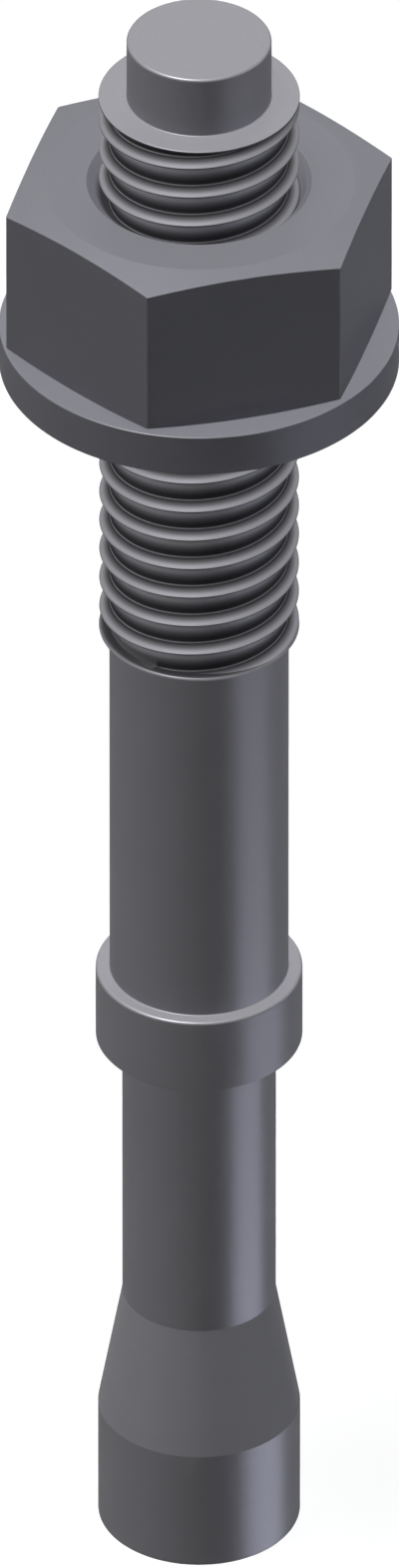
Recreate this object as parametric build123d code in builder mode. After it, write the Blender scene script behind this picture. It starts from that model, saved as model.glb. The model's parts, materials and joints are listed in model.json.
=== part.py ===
from build123d import *
from math import ceil, cos, floor, radians, sin, tan
import os

os.makedirs("parts", exist_ok=True)

# An expansion bolt of the M10 class: a cold-formed bolt with a rolled thread, its nut and its washer.
# The bolt stands on its foot. The axis is Z and the origin is the middle of the foot's end.
# All lengths are in millimetres and all angles in degrees.

# Expansion end of the bolt, from the foot up to the collar
foot_diameter = 10.15
foot_length = 6.7
cone_length = 6.9
neck_diameter = 7.7
neck_length = 15.7
collar_diameter = 10.35
collar_length = 4.15

# Shank, threaded length and drive pin
shank_diameter = 8.95
shank_length = 20.75
thread_diameter = 9.96
thread_length = 32.05
pin_diameter = 7.2
pin_length = 3.35

# Small bevel on the collar's upper edge and on the drive pin's
edge_bevel = 0.12

# Form of the right-hand thread: sharp crests over a flat root. The start angle is where the crest meets
# the thread's lower end.
thread_pitch = 1.73
thread_depth = 0.525
thread_flank_angle = 30.0
thread_start_angle = -20.0

# The land, a thin full rim that closes the thread at each end
land_diameter = 10.0
land_length = 0.15

# Clearance of the nut's thread over the bolt's, square to every surface
thread_clearance = 0.1

# How far the foot of a crest reaches into the rod that carries it
crest_sink = 0.1

# Hex nut, and the length of thread that stands above it
nut_across_flats = 17.2
nut_height = 8.65
nut_top_face_diameter = 15.5
nut_bearing_face_inset = 0.1
nut_chamfer_angle = 11.5
nut_countersink_diameter = 11.2
nut_countersink_angle = 45.0
thread_above_nut = 5.15

# Flat washer: how far it reaches past the nut's corners, and its clearance over the lands
washer_rim = 0.02
washer_thickness = 2.2
washer_clearance = 0.25

# Radius of the nut's corners, and of the washer that carries them
nut_corner_radius = nut_across_flats / 2 / cos(radians(30))
washer_radius = nut_corner_radius + washer_rim

# Heights that follow from the lengths
cone_bottom = foot_length
neck_bottom = cone_bottom + cone_length
collar_bottom = neck_bottom + neck_length
shank_bottom = collar_bottom + collar_length
thread_bottom = shank_bottom + shank_length
thread_top = thread_bottom + thread_length
bolt_top = thread_top + pin_length
nut_top = thread_top - thread_above_nut
nut_bottom = nut_top - nut_height
washer_bottom = nut_bottom - washer_thickness


def root_radius(gap):
    """Radius of the thread's root, fatter than the bolt's by gap."""
    return thread_diameter / 2 - thread_depth + gap


def crest_turn(gap):
    """One turn of the crest, its flanks moved out square by gap and its foot sunk into the rod."""
    crest_radius = thread_diameter / 2 + gap / sin(radians(thread_flank_angle))
    foot_radius = root_radius(gap) - crest_sink
    half_foot = (crest_radius - foot_radius) * tan(radians(thread_flank_angle))
    with BuildPart() as turn:
        with BuildLine() as path:
            Helix(thread_pitch, thread_pitch, crest_radius)
        with BuildSketch(Plane.XZ):
            with BuildLine():
                Polyline((foot_radius, -half_foot), (crest_radius, 0), (foot_radius, half_foot), close=True)
            make_face()
        sweep(path=path.line, is_frenet=True)
    return turn.part


def threaded_rod(bottom, top, gap):
    """A rod of whole turns that passes both heights, in step with the bolt's thread and fatter by gap."""
    first = floor((bottom - thread_bottom) / thread_pitch) - 1
    last = ceil((top - thread_bottom) / thread_pitch)
    starts = [thread_bottom + turn * thread_pitch for turn in range(first, last + 1)]
    with BuildPart() as rod:
        with BuildSketch(Plane.XY.offset(starts[0])):
            Circle(root_radius(gap))
        extrude(amount=len(starts) * thread_pitch)
        with Locations([Location((0, 0, start), (0, 0, thread_start_angle)) for start in starts]):
            add(crest_turn(gap))
    return rod.part


# The bolt: one turned outline, as wide as the pin inside the thread, and the thread cut off at the lands
with BuildPart() as anchor_bolt:
    thread_foot = thread_bottom + land_length
    thread_head = thread_top - land_length
    add(threaded_rod(thread_foot, thread_head, 0))
    split(bisect_by=Plane.XY.offset(thread_foot), keep=Keep.TOP)
    split(bisect_by=Plane.XY.offset(thread_head), keep=Keep.BOTTOM)
    with BuildSketch(Plane.XZ):
        with BuildLine():
            Polyline(
                (0, 0),
                (foot_diameter / 2, 0),
                (foot_diameter / 2, cone_bottom),
                (neck_diameter / 2, neck_bottom),
                (neck_diameter / 2, collar_bottom),
                (collar_diameter / 2, collar_bottom),
                (collar_diameter / 2, shank_bottom - edge_bevel),
                (collar_diameter / 2 - edge_bevel, shank_bottom),
                (shank_diameter / 2, shank_bottom),
                (shank_diameter / 2, thread_bottom),
                (land_diameter / 2, thread_bottom),
                (land_diameter / 2, thread_foot),
                (pin_diameter / 2, thread_foot),
                (pin_diameter / 2, thread_head),
                (land_diameter / 2, thread_head),
                (land_diameter / 2, thread_top),
                (pin_diameter / 2, thread_top),
                (pin_diameter / 2, bolt_top - edge_bevel),
                (pin_diameter / 2 - edge_bevel, bolt_top),
                (0, bolt_top),
                close=True,
            )
        make_face()
    revolve(axis=Axis.Z)
anchor_bolt.part.label = "anchor_bolt"

# The nut: a hexagon, turned to a shallow cone at both faces, countersunk and tapped
with BuildPart() as hex_nut:
    with BuildSketch(Plane.XY.offset(nut_bottom)):
        RegularPolygon(nut_across_flats / 2, 6, major_radius=False)
    extrude(amount=nut_height)
    blank_radius = nut_corner_radius + 1
    top_face_radius = nut_top_face_diameter / 2
    bearing_face_radius = nut_across_flats / 2 - nut_bearing_face_inset
    chamfer_slope = tan(radians(nut_chamfer_angle))
    with BuildSketch(Plane.XZ):
        with BuildLine():
            Polyline(
                (0, nut_bottom),
                (bearing_face_radius, nut_bottom),
                (blank_radius, nut_bottom + chamfer_slope * (blank_radius - bearing_face_radius)),
                (blank_radius, nut_top - chamfer_slope * (blank_radius - top_face_radius)),
                (top_face_radius, nut_top),
                (0, nut_top),
                close=True,
            )
        make_face()
    revolve(axis=Axis.Z, mode=Mode.INTERSECT)
    sink_radius = nut_countersink_diameter / 2
    sink_depth = sink_radius / tan(radians(nut_countersink_angle))
    with BuildSketch(Plane.XZ):
        with BuildLine():
            Polyline((0, nut_top), (sink_radius, nut_top), (0, nut_top - sink_depth), close=True)
        make_face()
    revolve(axis=Axis.Z, mode=Mode.SUBTRACT)
    with BuildSketch(Plane.XZ):
        with BuildLine():
            Polyline((0, nut_bottom), (sink_radius, nut_bottom), (0, nut_bottom + sink_depth), close=True)
        make_face()
    revolve(axis=Axis.Z, mode=Mode.SUBTRACT)
    add(threaded_rod(nut_bottom, nut_top, thread_clearance), mode=Mode.SUBTRACT)
hex_nut.part.label = "hex_nut"

# The washer: a stamped ring that the nut presses on
with BuildPart() as flat_washer:
    with BuildSketch(Plane.XY.offset(washer_bottom)):
        Circle(washer_radius)
        Circle(land_diameter / 2 + washer_clearance, mode=Mode.SUBTRACT)
    extrude(amount=washer_thickness)
flat_washer.part.label = "flat_washer"

export_step(anchor_bolt.part, "parts/anchor_bolt.step")
export_step(hex_nut.part, "parts/hex_nut.step")
export_step(flat_washer.part, "parts/flat_washer.step")
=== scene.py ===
import json
from math import atan2, ceil, cos, floor, pi, radians, sin, sqrt, tan

import bmesh
import bpy
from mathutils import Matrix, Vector


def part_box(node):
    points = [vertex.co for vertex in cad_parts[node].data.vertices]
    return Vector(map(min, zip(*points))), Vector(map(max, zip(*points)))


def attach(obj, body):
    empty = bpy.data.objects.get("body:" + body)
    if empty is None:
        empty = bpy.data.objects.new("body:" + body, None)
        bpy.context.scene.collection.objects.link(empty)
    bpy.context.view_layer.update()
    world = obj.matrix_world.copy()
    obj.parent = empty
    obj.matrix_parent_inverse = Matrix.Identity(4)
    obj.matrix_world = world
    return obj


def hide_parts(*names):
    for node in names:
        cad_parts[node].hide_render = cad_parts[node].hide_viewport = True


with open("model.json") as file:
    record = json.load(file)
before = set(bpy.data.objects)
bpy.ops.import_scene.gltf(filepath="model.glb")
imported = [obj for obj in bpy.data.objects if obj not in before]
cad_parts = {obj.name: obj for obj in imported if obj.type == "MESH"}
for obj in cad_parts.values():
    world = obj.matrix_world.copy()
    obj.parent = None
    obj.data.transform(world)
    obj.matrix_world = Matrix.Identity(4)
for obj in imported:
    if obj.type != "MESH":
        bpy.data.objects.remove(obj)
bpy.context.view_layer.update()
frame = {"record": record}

# The object is modelled in millimetres here and written into its meshes in metres.
MM = 0.001

# The photograph: its size, its scale, the column of the bolt's axis and the height on the axis that the
# middle of the picture looks at
PHOTO_WIDTH = 400
PHOTO_HEIGHT = 1570
PIXELS_PER_MM = 20.08
AXIS_COLUMN = 199.6
AIM_HEIGHT = 44.43

# The view is isometric: the camera stands half way between +X and -Y. A long lens stands in for a view
# without perspective.
VIEW_AZIMUTH = 45.0
VIEW_ELEVATION = 35.264
LENS = 430.0
SENSOR_HEIGHT = 8.9
CLIP_START = 0.1
CLIP_END = 50.0


# Sizes that the frame gives

mounts = {mount["name"]: mount for mount in frame["record"]["mounts"]}


def pin_span(name):
    """Radius and lowest and highest point of a pin mount, in millimetres."""
    mount = mounts[name]
    middle = mount["pos_m"][2] / MM
    half = mount["dims"]["length_mm"] / 2
    return mount["dims"]["r_mm"], middle - half, middle + half


foot_radius, foot_bottom, cone_bottom = pin_span("hole_foot")
neck_radius, neck_bottom, neck_top = pin_span("clip_neck")
collar_radius, collar_bottom, shank_bottom = pin_span("hole_collar")
pin_radius, thread_top, bolt_top = pin_span("drive_pin")
land_radius = mounts["upper_thread"]["dims"]["r_mm"]
thread_pitch = 2 * pi * frame["record"]["behaviour"]["couplings"][0]["ratio"] / MM
nut_low, nut_high = (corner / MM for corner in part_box("hex_nut"))
washer_low, washer_high = (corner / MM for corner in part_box("flat_washer"))

# Sizes that the frame doesn't give: shank, thread, nut and washer
SHANK_RADIUS = 4.475
THREAD_BOTTOM = 54.2
LAND_LENGTH = 0.15
CREST_RADIUS = 4.98
THREAD_DEPTH = 0.525
FLANK_ANGLE = 30.0
CREST_START_ANGLE = -20.0
THREAD_CLEARANCE = 0.1
NUT_TOP_FACE_RADIUS = 7.75
NUT_BEARING_FACE_INSET = 0.1
NUT_CHAMFER_ANGLE = 11.5
NUT_SINK_RADIUS = 5.6
WASHER_HOLE_RADIUS = 5.25

# Radii of the rounded edges
RIM_ROUND = 0.15
TURNED_EDGE = 0.12
SHARP_EDGE = 0.05
LAND_LOWER_EDGE = 0.02
LAND_UPPER_EDGE = 0.12
CREST_ROUND = 0.05
ROOT_ROUND = 0.14
NUT_CORNER_ROUND = 0.12
STAMPED_EDGE = 0.05
FACE_EDGE = 0.4

# Steps round the axis, round each arc of an outline and over half of each rounded corner of the hexagon
COLUMNS = 144
ARC_STEPS = 4
CORNER_SHARES = (0.35, 0.7, 1)

# A step down the slope of the nut's countersinks, which stand at 45 degrees
SINK_STEP = 1.0

# Points of a mesh closer than this, in metres, are one point.
MERGE_DISTANCE = 1e-7

# Each vertex normal is the mean of its faces' normals, weighted by their areas to this power, so that flats
# stay flat up to their rounded edges.
AREA_POWER = 3


# Meshes


def rounded(points):
    """The outline through points of (radius, height, corner radius), with an arc at each such corner."""
    outline = []
    for index, (x, z, corner) in enumerate(points):
        here = Vector((x, z))
        if not corner:
            outline.append((x, z))
            continue
        back = (Vector(points[index - 1][:2]) - here).normalized()
        ahead = (Vector(points[(index + 1) % len(points)][:2]) - here).normalized()
        half = back.angle(ahead) / 2
        centre = here + (back + ahead).normalized() * (corner / sin(half))
        start = here + back * (corner / tan(half)) - centre
        end = here + ahead * (corner / tan(half)) - centre
        turn = atan2(start.x * end.y - start.y * end.x, start.dot(end))
        for step in range(ARC_STEPS + 1):
            angle = turn * step / ARC_STEPS
            x = centre.x + start.x * cos(angle) - start.y * sin(angle)
            z = centre.y + start.x * sin(angle) + start.y * cos(angle)
            outline.append((x, z))
    return outline


def skin(name, angles, outline, closed):
    """A mesh through the outline at each angle round the axis. A closed one returns to its first point."""
    columns = []
    for angle in angles:
        columns.append([Vector((r * cos(angle), r * sin(angle), z)) * MM for r, z in outline(angle)])
    rows = len(columns[0])
    verts = [point for column in columns for point in column]
    faces = []
    for column in range(len(angles) - 1):
        for row in range(rows if closed else rows - 1):
            after = (row + 1) % rows
            near, far = column * rows, (column + 1) * rows
            faces.append((near + row, far + row, far + after, near + after))
    mesh = bpy.data.meshes.new(name)
    mesh.from_pydata(verts, [], faces)
    sheet = bmesh.new()
    sheet.from_mesh(mesh)
    bmesh.ops.remove_doubles(sheet, verts=sheet.verts, dist=MERGE_DISTANCE)
    bmesh.ops.dissolve_degenerate(sheet, edges=sheet.edges, dist=MERGE_DISTANCE)
    bmesh.ops.recalc_face_normals(sheet, faces=sheet.faces)
    sheet.to_mesh(mesh)
    sheet.free()
    mesh.shade_smooth()
    normals = [Vector() for _ in mesh.vertices]
    for face in mesh.polygons:
        for vertex in face.vertices:
            normals[vertex] += face.normal * (face.area / MM**2) ** AREA_POWER
    mesh.normals_split_custom_set_from_vertices([normal.normalized() for normal in normals])
    piece = bpy.data.objects.new(name, mesh)
    bpy.context.scene.collection.objects.link(piece)
    return piece


def thread_form(gap):
    """One pitch of the thread from root to root, as (height from the crest, radius), moved out by gap."""
    tip = CREST_RADIUS + CREST_ROUND + gap / sin(radians(FLANK_ANGLE))
    root = CREST_RADIUS - THREAD_DEPTH + gap
    half = (tip - root) * tan(radians(FLANK_ANGLE))
    outline = rounded(
        [
            (-thread_pitch / 2, root, 0),
            (-half, root, ROOT_ROUND),
            (0, tip, CREST_ROUND),
            (half, root, ROOT_ROUND),
            (thread_pitch / 2, root, 0),
        ]
    )
    return outline[:-1]


def crest_height(angle):
    """Height of the thread's first crest at an angle."""
    return THREAD_BOTTOM + thread_pitch * (angle - radians(CREST_START_ANGLE)) / (2 * pi)


def thread_radius(form, angle, height):
    """Radius of the thread's surface at an angle and a height."""
    offset = (height - crest_height(angle) + thread_pitch / 2) % thread_pitch - thread_pitch / 2
    loop = form + [(form[0][0] + thread_pitch, form[0][1])]
    for (low, low_radius), (high, high_radius) in zip(loop, loop[1:]):
        if offset <= high:
            share = (offset - low) / (high - low)
            return low_radius + (high_radius - low_radius) * share
    return loop[-1][1]


def thread_rows(form, angle, bottom, top):
    """Points up the thread at an angle, whole turns along the helix, cut off flat at bottom and top."""
    first = floor((bottom - THREAD_BOTTOM) / thread_pitch) - 2
    last = ceil((top - THREAD_BOTTOM) / thread_pitch) + 1
    low = (thread_radius(form, angle, bottom), bottom)
    high = (thread_radius(form, angle, top), top)
    rows = []
    for turn in range(first, last + 1):
        for offset, radius in form:
            height = crest_height(angle) + turn * thread_pitch + offset
            if height <= bottom:
                rows.append(low)
            elif height >= top:
                rows.append(high)
            else:
                rows.append((radius, height))
    return rows


def even_angles():
    return [2 * pi * step / COLUMNS for step in range(COLUMNS + 1)]


def bolt_outline(angle):
    below = rounded(
        [
            (0, foot_bottom, 0),
            (foot_radius, foot_bottom, TURNED_EDGE),
            (foot_radius, cone_bottom, TURNED_EDGE),
            (neck_radius, neck_bottom, TURNED_EDGE),
            (neck_radius, neck_top, SHARP_EDGE),
            (collar_radius, collar_bottom, SHARP_EDGE),
            (collar_radius, shank_bottom, RIM_ROUND),
            (SHANK_RADIUS, shank_bottom, SHARP_EDGE),
            (SHANK_RADIUS, THREAD_BOTTOM, SHARP_EDGE),
            (land_radius, THREAD_BOTTOM, LAND_LOWER_EDGE),
            (land_radius, THREAD_BOTTOM + LAND_LENGTH, LAND_UPPER_EDGE),
            (SHANK_RADIUS, THREAD_BOTTOM + LAND_LENGTH, 0),
        ]
    )[:-1]
    above = rounded(
        [
            (SHANK_RADIUS, thread_top - LAND_LENGTH, 0),
            (land_radius, thread_top - LAND_LENGTH, SHARP_EDGE),
            (land_radius, thread_top, SHARP_EDGE),
            (pin_radius, thread_top, SHARP_EDGE),
            (pin_radius, bolt_top, RIM_ROUND),
            (0, bolt_top, 0),
        ]
    )[1:]
    thread = thread_rows(bolt_form, angle, THREAD_BOTTOM + LAND_LENGTH, thread_top - LAND_LENGTH)
    return below + thread + above


def hexagon_corner():
    """Distance from the axis to the centre of a rounded corner, and half the angle that its arc covers."""
    centre = (nut_high.y - NUT_CORNER_ROUND) / cos(radians(30))
    edge = atan2(NUT_CORNER_ROUND * sin(radians(30)), centre + NUT_CORNER_ROUND * cos(radians(30)))
    return centre, edge


def nut_angles():
    """Even angles, with more of them round each rounded corner of the hexagon."""
    edge = hexagon_corner()[1]
    steps = COLUMNS // 6
    side = [0] + [edge * share for share in CORNER_SHARES]
    side += [radians(60) * step / steps for step in range(1, steps)]
    side += [radians(60) - edge * share for share in reversed(CORNER_SHARES)]
    return [radians(60) * corner + angle for corner in range(6) for angle in side] + [2 * pi]


def hexagon_radius(angle):
    """Distance of the nut's wall from the axis, its corners rounded."""
    from_corner = abs((angle + radians(30)) % radians(60) - radians(30))
    centre, edge = hexagon_corner()
    if from_corner < edge:
        across = centre * sin(from_corner)
        return centre * cos(from_corner) + sqrt(NUT_CORNER_ROUND**2 - across**2)
    return nut_high.y / cos(radians(30) - from_corner)


def nut_outline(angle):
    wall = hexagon_radius(angle)
    slope = tan(radians(NUT_CHAMFER_ANGLE))
    bearing_radius = nut_high.y - NUT_BEARING_FACE_INSET
    bottom, top = nut_low.z, nut_high.z
    outside = rounded(
        [
            (NUT_SINK_RADIUS, bottom, SHARP_EDGE),
            (bearing_radius, bottom, 0),
            (wall, bottom + slope * (wall - bearing_radius), SHARP_EDGE),
            (wall, top - slope * (wall - NUT_TOP_FACE_RADIUS), SHARP_EDGE),
            (NUT_TOP_FACE_RADIUS, top, FACE_EDGE),
            (NUT_SINK_RADIUS, top, SHARP_EDGE),
            (NUT_SINK_RADIUS - SINK_STEP, top - SINK_STEP, 0),
            (NUT_SINK_RADIUS - SINK_STEP, bottom + SINK_STEP, 0),
        ]
    )[:-2]
    bore = []
    for radius, height in reversed(thread_rows(nut_form, angle, bottom + SHARP_EDGE, top - SHARP_EDGE)):
        sink = NUT_SINK_RADIUS - min(top - height, height - bottom)
        bore.append((max(radius, sink), height))
    return outside + bore


def washer_outline(angle):
    return rounded(
        [
            (WASHER_HOLE_RADIUS, washer_low.z, SHARP_EDGE),
            (washer_high.x, washer_low.z, SHARP_EDGE),
            (washer_high.x, washer_high.z, STAMPED_EDGE),
            (WASHER_HOLE_RADIUS, washer_high.z, STAMPED_EDGE),
        ]
    )


bolt_form = thread_form(0)
nut_form = thread_form(THREAD_CLEARANCE)

bolt = skin("bolt_steel_form", even_angles(), bolt_outline, closed=False)
nut = skin("nut_steel_form", nut_angles(), nut_outline, closed=True)
washer = skin("washer_steel_form", even_angles(), washer_outline, closed=True)


# Materials

# Colours of the steel, linear
BOLT_TONE = (0.338, 0.336, 0.362)
NUT_TONE = (0.235, 0.235, 0.262)
WASHER_TONE = (0.247, 0.247, 0.275)

# How metallic and rough the steel is, and the scales in waves per millimetre and the strengths of its marks
METALLIC = 0.1
ROUGHNESS = 0.4
RING_SCALE = 5.0
RING_DRIFT = 0.02
RING_TINT = 0.05
GRAIN_SCALE = 6.0
GRAIN_ROUGHNESS = 0.1
BLOTCH_SCALE = 0.35
BLOTCH_TINT = 0.04
MARK_DEPTH = 0.0015

# The bores: their factor on the tone, a painted shade, and the radii between which it rises to 1
BORE_SHADE = 0.25
NUT_BORE_SPAN = (4.9, 5.2)
WASHER_BORE_SPAN = (5.2, 5.3)

# The cone: its factor on the tone, a painted shade, and what its polish adds to the roughness
CONE_SHADE = 0.94
CONE_POLISH = -0.2

# The lower land: painted shade at its foot, rising to a faint painted light towards its rim
LAND_MARGIN = 0.01
LAND_FOOT_SHADE = 0.1
LAND_RIM_SHADE = 0.95
LAND_RIM_POWER = 60

# The upper land: the factor of painted shade on its wall and on the thread under it, how far down that
# reaches, and how much of the top edge it leaves out
UPPER_LAND_SHADE = 0.35
LAND_GAP = 0.6
UPPER_LAND_TOP = 0.03

# Painted highlight and shade over one turn of the thread, from a crest up to the next: the upper flank, its
# foot, the root and the lower flank, as levels. The first number below is the factor on the tone at level 1,
# so that the high levels paint a highlight and the low ones paint shade. THREAD_DULLNESS adds to the
# roughness.
PAINTED_HIGHLIGHT_PEAK = 1.9
THREAD_SHADES = [
    (0.0, 0.26),
    (0.02, 0.35),
    (0.05, 0.43),
    (0.08, 0.37),
    (0.12, 0.2),
    (0.175, 0.06),
    (0.205, 0.08),
    (0.22, 0.62),
    (0.24, 0.62),
    (0.26, 0.11),
    (0.36, 0.1),
    (0.45, 0.18),
    (0.55, 0.37),
    (0.66, 0.72),
    (0.73, 0.78),
    (0.8, 0.47),
    (0.93, 0.26),
    (0.97, 0.09),
    (1.0, 0.09),
]
THREAD_DULLNESS = [(0.0, 0.0), (0.03, 0.2), (0.16, 0.45), (0.6, 0.3), (0.8, 0.05), (1.0, 0.0)]


def new_material(name):
    material = bpy.data.materials.new(name)
    material.use_nodes = True
    material.node_tree.nodes.clear()
    return material, material.node_tree


def maths(tree, operation, *values):
    """A maths node fed with numbers or with the outputs of other nodes."""
    node = tree.nodes.new("ShaderNodeMath")
    node.operation = operation
    for socket, value in zip(node.inputs, values):
        if isinstance(value, bpy.types.NodeSocket):
            tree.links.new(value, socket)
        else:
            socket.default_value = value
    return node.outputs["Value"]


def ramp(tree, value, stops):
    """A curve through stops of (position, level), with straight pieces between them."""
    node = tree.nodes.new("ShaderNodeValToRGB")
    elements = node.color_ramp.elements
    elements.remove(elements[1])
    for index, (position, painted_level) in enumerate(stops):
        element = elements.new(position) if index else elements[0]
        element.position = position
        element.color = (painted_level, painted_level, painted_level, 1)
    tree.links.new(value, node.inputs["Fac"])
    return node.outputs["Color"]


def noise(tree, vector, scale, detail):
    """Fractal noise of a number of waves per millimetre."""
    node = tree.nodes.new("ShaderNodeTexNoise")
    node.inputs["Scale"].default_value = scale / MM
    node.inputs["Detail"].default_value = detail
    tree.links.new(vector, node.inputs["Vector"])
    return node.outputs["Fac"]


def steel(name, tone, shade):
    """Cold-formed steel of one tone, with marks left by the tools and with painted light and shade.

    shade is given the tree and the outputs for a point's radius, angle and height, in metres and radians, and
    returns the factor on the tone, which paints light and shade, and what is added to the roughness.
    """
    material, tree = new_material(name)
    output = tree.nodes.new("ShaderNodeOutputMaterial")
    shader = tree.nodes.new("ShaderNodeBsdfPrincipled")
    shader.inputs["Metallic"].default_value = METALLIC
    shader.inputs["Specular IOR Level"].default_value = 0.0
    tree.links.new(shader.outputs["BSDF"], output.inputs["Surface"])

    place = tree.nodes.new("ShaderNodeTexCoord").outputs["Object"]
    apart = tree.nodes.new("ShaderNodeSeparateXYZ")
    tree.links.new(place, apart.inputs["Vector"])
    x, y, z = (apart.outputs[axis] for axis in "XYZ")
    square = maths(tree, "ADD", maths(tree, "MULTIPLY", x, x), maths(tree, "MULTIPLY", y, y))
    radius = maths(tree, "SQRT", square)

    # Rings run round the axis, and the grain is even.
    rings = tree.nodes.new("ShaderNodeCombineXYZ")
    tree.links.new(maths(tree, "MULTIPLY_ADD", x, RING_DRIFT, radius), rings.inputs["X"])
    tree.links.new(maths(tree, "MULTIPLY", y, RING_DRIFT), rings.inputs["Y"])
    tree.links.new(z, rings.inputs["Z"])
    ring_marks = noise(tree, rings.outputs["Vector"], RING_SCALE, 3)
    grain = noise(tree, place, GRAIN_SCALE, 4)
    blotches = noise(tree, place, BLOTCH_SCALE, 2)

    factor, dullness = shade(tree, radius, maths(tree, "ARCTAN2", y, x), z)
    for marks, tint in ((ring_marks, RING_TINT), (blotches, BLOTCH_TINT)):
        factor = maths(tree, "MULTIPLY", factor, maths(tree, "MULTIPLY_ADD", marks, tint, 1 - tint / 2))
    colour = tree.nodes.new("ShaderNodeVectorMath")
    colour.operation = "SCALE"
    colour.inputs[0].default_value = tone
    tree.links.new(factor, colour.inputs["Scale"])
    tree.links.new(colour.outputs["Vector"], shader.inputs["Base Color"])

    rough = maths(tree, "MULTIPLY_ADD", grain, GRAIN_ROUGHNESS, ROUGHNESS - GRAIN_ROUGHNESS / 2)
    rough = maths(tree, "ADD", rough, dullness)
    tree.links.new(rough, shader.inputs["Roughness"])

    bump = tree.nodes.new("ShaderNodeBump")
    bump.inputs["Strength"].default_value = 1.0
    bump.inputs["Distance"].default_value = MARK_DEPTH * MM
    tree.links.new(maths(tree, "ADD", ring_marks, grain), bump.inputs["Height"])
    tree.links.new(bump.outputs["Normal"], shader.inputs["Normal"])
    return material


def between(tree, height, low, high):
    """1 where the height lies between two heights in millimetres, and 0 elsewhere."""
    above = maths(tree, "GREATER_THAN", height, low * MM)
    return maths(tree, "MULTIPLY", above, maths(tree, "LESS_THAN", height, high * MM))


def rise(tree, value, low, high, start=0.0):
    """start while the value is under low, a straight rise up to high, and 1 above, both in millimetres."""
    node = tree.nodes.new("ShaderNodeMapRange")
    tree.links.new(value, node.inputs["Value"])
    node.inputs["From Min"].default_value = low * MM
    node.inputs["From Max"].default_value = high * MM
    node.inputs["To Min"].default_value = start
    return node.outputs["Result"]


def where(tree, mask, share, factor):
    """The factor, times a share where the mask is 1."""
    return maths(tree, "MULTIPLY", factor, maths(tree, "MULTIPLY_ADD", mask, share - 1, 1))


def bolt_shade(tree, radius, angle, height):
    """The bolt's factor on the tone and added roughness: a painted highlight on the crest over painted shade
    in the root.
    """
    thread_foot = THREAD_BOTTOM + LAND_LENGTH + LAND_MARGIN
    thread_head = thread_top - LAND_LENGTH

    # Painted highlight on the thread's flanks and painted shade in its roots, by the phase of each turn.
    turns = maths(tree, "MULTIPLY_ADD", height, 1 / (thread_pitch * MM), -THREAD_BOTTOM / thread_pitch)
    round_axis = maths(tree, "MULTIPLY_ADD", angle, 1 / (2 * pi), -CREST_START_ANGLE / 360)
    phase = maths(tree, "FRACT", maths(tree, "SUBTRACT", turns, round_axis))
    on_thread = between(tree, height, thread_foot, thread_head)
    painted_level = maths(tree, "MULTIPLY_ADD", ramp(tree, phase, THREAD_SHADES), PAINTED_HIGHLIGHT_PEAK, -1)
    factor = maths(tree, "MULTIPLY_ADD", painted_level, on_thread, 1)

    # Painted shade at the lower land's foot, rising to a faint painted light on its rim.
    share_of_rim = maths(tree, "MULTIPLY", radius, 1 / (land_radius * MM))
    rim = maths(tree, "POWER", share_of_rim, LAND_RIM_POWER)
    painted_land_shade = maths(tree, "MULTIPLY_ADD", rim, LAND_RIM_SHADE, LAND_FOOT_SHADE - 1)
    on_lower_land = between(tree, height, THREAD_BOTTOM + LAND_MARGIN, thread_foot)
    factor = maths(tree, "ADD", factor, maths(tree, "MULTIPLY", on_lower_land, painted_land_shade))

    # Painted shade on the upper land's wall and on the thread under it.
    near_head = rise(tree, height, thread_head - LAND_GAP, thread_head - LAND_GAP / 2)
    below_edge = between(tree, height, THREAD_BOTTOM, thread_top - UPPER_LAND_TOP)
    factor = where(tree, maths(tree, "MULTIPLY", near_head, below_edge), UPPER_LAND_SHADE, factor)

    # Painted shade over the whole cone, and its polish.
    on_cone = between(tree, height, cone_bottom, neck_bottom)
    factor = where(tree, on_cone, CONE_SHADE, factor)
    dullness = maths(tree, "MULTIPLY", ramp(tree, phase, THREAD_DULLNESS), on_thread)
    return factor, maths(tree, "MULTIPLY_ADD", on_cone, CONE_POLISH, dullness)


def bore_shade(span):
    """Painted shade in the bore, rising to the plain tone over a span of radii."""

    def shade(tree, radius, _angle, _height):
        return rise(tree, radius, *span, BORE_SHADE), 0.0

    return shade


bolt.data.materials.append(steel("bolt steel", BOLT_TONE, bolt_shade))
nut.data.materials.append(steel("nut steel", NUT_TONE, bore_shade(NUT_BORE_SPAN)))
washer.data.materials.append(steel("washer steel", WASHER_TONE, bore_shade(WASHER_BORE_SPAN)))

for piece, body, node, slot in (
    (bolt, "bolt", "anchor_bolt", "bolt_steel"),
    (nut, "nut", "hex_nut", "nut_steel"),
    (washer, "washer", "flat_washer", "washer_steel"),
):
    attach(piece, body)
    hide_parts(node)


# Camera

azimuth, elevation = radians(VIEW_AZIMUTH), radians(VIEW_ELEVATION)
to_camera = Vector((sin(azimuth) * cos(elevation), -cos(azimuth) * cos(elevation), sin(elevation)))
to_right = Vector((cos(azimuth), sin(azimuth), 0))
frame_half = PHOTO_HEIGHT / PIXELS_PER_MM / 2 * MM
aim = Vector((0, 0, AIM_HEIGHT * MM)) + to_right * (PHOTO_WIDTH / 2 - AXIS_COLUMN) / PIXELS_PER_MM * MM
camera_data = bpy.data.cameras.new("camera")
camera_data.sensor_fit = "VERTICAL"
camera_data.lens = LENS
camera_data.sensor_height = SENSOR_HEIGHT
camera_data.clip_start = CLIP_START
camera_data.clip_end = CLIP_END
camera = bpy.data.objects.new("camera", camera_data)
camera.location = aim + to_camera * (frame_half / (SENSOR_HEIGHT / 2 / LENS))
camera.rotation_mode = "QUATERNION"
camera.rotation_quaternion = (-to_camera).to_track_quat("-Z", "Y")
bpy.context.scene.collection.objects.link(camera)
bpy.context.scene.camera = camera


# Lights

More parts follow.
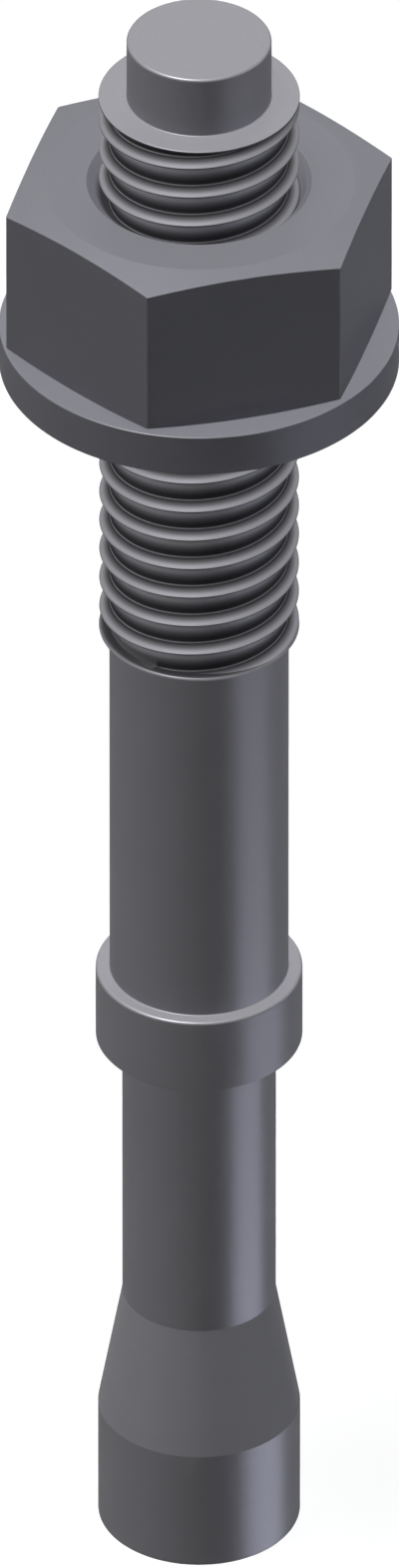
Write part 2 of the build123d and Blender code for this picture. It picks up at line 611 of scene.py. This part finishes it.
WHITE = (1, 1, 1)
COOL = (0.93, 0.95, 1)
BLUISH = (0.82, 0.84, 1)
KEY_STRENGTH = 2.9
KEY_SHADOW_SHARE = 0.07
AMBIENT = 0.024

# The floor: its size, and its grey and its glow, so that it looks white and hardly lights the object
FLOOR_HALF = 3.0
FLOOR_GREY = 0.05
FLOOR_GLOW = 0.05


def towards_lamp(from_camera, height):
    """Direction at an angle to the camera's side, right positive, and at a height above the horizon."""
    heading = azimuth + radians(from_camera)
    lift = radians(height)
    return Vector((sin(heading) * cos(lift), -cos(heading) * cos(lift), sin(lift)))


def place_lamp(name, data, towards, distance=0.0):
    """Put a lamp in a direction from the origin, shining back at it."""
    lamp = bpy.data.objects.new(name, data)
    lamp.location = towards * distance
    lamp.rotation_mode = "QUATERNION"
    lamp.rotation_quaternion = towards.to_track_quat("Z", "Y")
    bpy.context.scene.collection.objects.link(lamp)
    return lamp


def sheen_only(lamp):
    """Let the lamp shine in reflections alone."""
    lamp.visible_diffuse = False
    lamp.data.cycles.max_bounces = 0


def sun(name, strength, colour, size, from_camera, height, shadow=False):
    """A sun with a disc of size degrees."""
    data = bpy.data.lights.new(name, "SUN")
    data.energy = strength
    data.color = colour
    data.angle = radians(size)
    data.use_shadow = shadow
    return place_lamp(name, data, towards_lamp(from_camera, height))


def strip(name, watts, colour, width, breadth, from_camera, height, distance):
    """A rectangular lamp, its sides and its distance from the origin in metres."""
    data = bpy.data.lights.new(name, "AREA")
    data.shape = "RECTANGLE"
    data.size = width
    data.size_y = breadth
    data.energy = watts
    data.color = colour
    data.use_shadow = False
    return place_lamp(name, data, towards_lamp(from_camera, height), distance)


# Most of the key's light casts no shadow, so that the shadows are faint.
key_parts = (("key", 1 - KEY_SHADOW_SHARE, False), ("key with shadow", KEY_SHADOW_SHARE, True))
for name, share, shadow in key_parts:
    sun(name, KEY_STRENGTH * share, WHITE, size=12, from_camera=-75, height=76, shadow=shadow)
sheen_only(sun("rim sheen", 9.6, WHITE, size=8, from_camera=-80, height=75))
sun("right fill", 0.68, COOL, size=12, from_camera=100, height=15)

# A flat strip under the floor's level draws the bright line down the bolt's right side.
strip_place = {"from_camera": 79, "height": -VIEW_ELEVATION, "distance": 0.2}
sheen_only(strip("low strip", 0.325, BLUISH, width=0.16, breadth=0.019, **strip_place))


def seen_directly(tree):
    """1 for camera, glossy and transmission rays, and 0 for the rays of diffuse light."""
    path = tree.nodes.new("ShaderNodeLightPath")
    total = path.outputs["Is Camera Ray"]
    for kind in ("Is Glossy Ray", "Is Transmission Ray"):
        plus = tree.nodes.new("ShaderNodeMath")
        plus.operation = "ADD"
        plus.use_clamp = True
        tree.links.new(total, plus.inputs[0])
        tree.links.new(path.outputs[kind], plus.inputs[1])
        total = plus.outputs["Value"]
    return total


# The world looks white and lights the object faintly.
world = bpy.data.worlds.new("studio")
bpy.context.scene.world = world
world.use_nodes = True
tree = world.node_tree
tree.nodes.clear()
strength = tree.nodes.new("ShaderNodeMapRange")
strength.inputs["To Min"].default_value = AMBIENT
strength.inputs["To Max"].default_value = 1
background = tree.nodes.new("ShaderNodeBackground")
background.inputs["Color"].default_value = (1, 1, 1, 1)
world_output = tree.nodes.new("ShaderNodeOutputWorld")
tree.links.new(seen_directly(tree), strength.inputs["Value"])
tree.links.new(strength.outputs["Result"], background.inputs["Strength"])
tree.links.new(background.outputs["Background"], world_output.inputs["Surface"])


# Floor

floor_mesh = bpy.data.meshes.new("floor")
corners = [(FLOOR_HALF * x, FLOOR_HALF * y, 0) for x, y in ((-1, -1), (1, -1), (1, 1), (-1, 1))]
floor_mesh.from_pydata(corners, [], [(0, 1, 2, 3)])
floor_piece = bpy.data.objects.new("floor", floor_mesh)
bpy.context.scene.collection.objects.link(floor_piece)
material, tree = new_material("pale floor")
output = tree.nodes.new("ShaderNodeOutputMaterial")
white = tree.nodes.new("ShaderNodeBsdfDiffuse")
white.inputs["Color"].default_value = (1, 1, 1, 1)
glow = tree.nodes.new("ShaderNodeEmission")
glow.inputs["Strength"].default_value = FLOOR_GLOW
bright = tree.nodes.new("ShaderNodeAddShader")
dim = tree.nodes.new("ShaderNodeBsdfDiffuse")
dim.inputs["Color"].default_value = (FLOOR_GREY, FLOOR_GREY, FLOOR_GREY, 1)
mix = tree.nodes.new("ShaderNodeMixShader")
tree.links.new(seen_directly(tree), mix.inputs["Fac"])
tree.links.new(dim.outputs["BSDF"], mix.inputs[1])
tree.links.new(white.outputs["BSDF"], bright.inputs[0])
tree.links.new(glow.outputs["Emission"], bright.inputs[1])
tree.links.new(bright.outputs["Shader"], mix.inputs[2])
tree.links.new(mix.outputs["Shader"], output.inputs["Surface"])
floor_mesh.materials.append(material)

bpy.context.scene.view_settings.view_transform = "Standard"
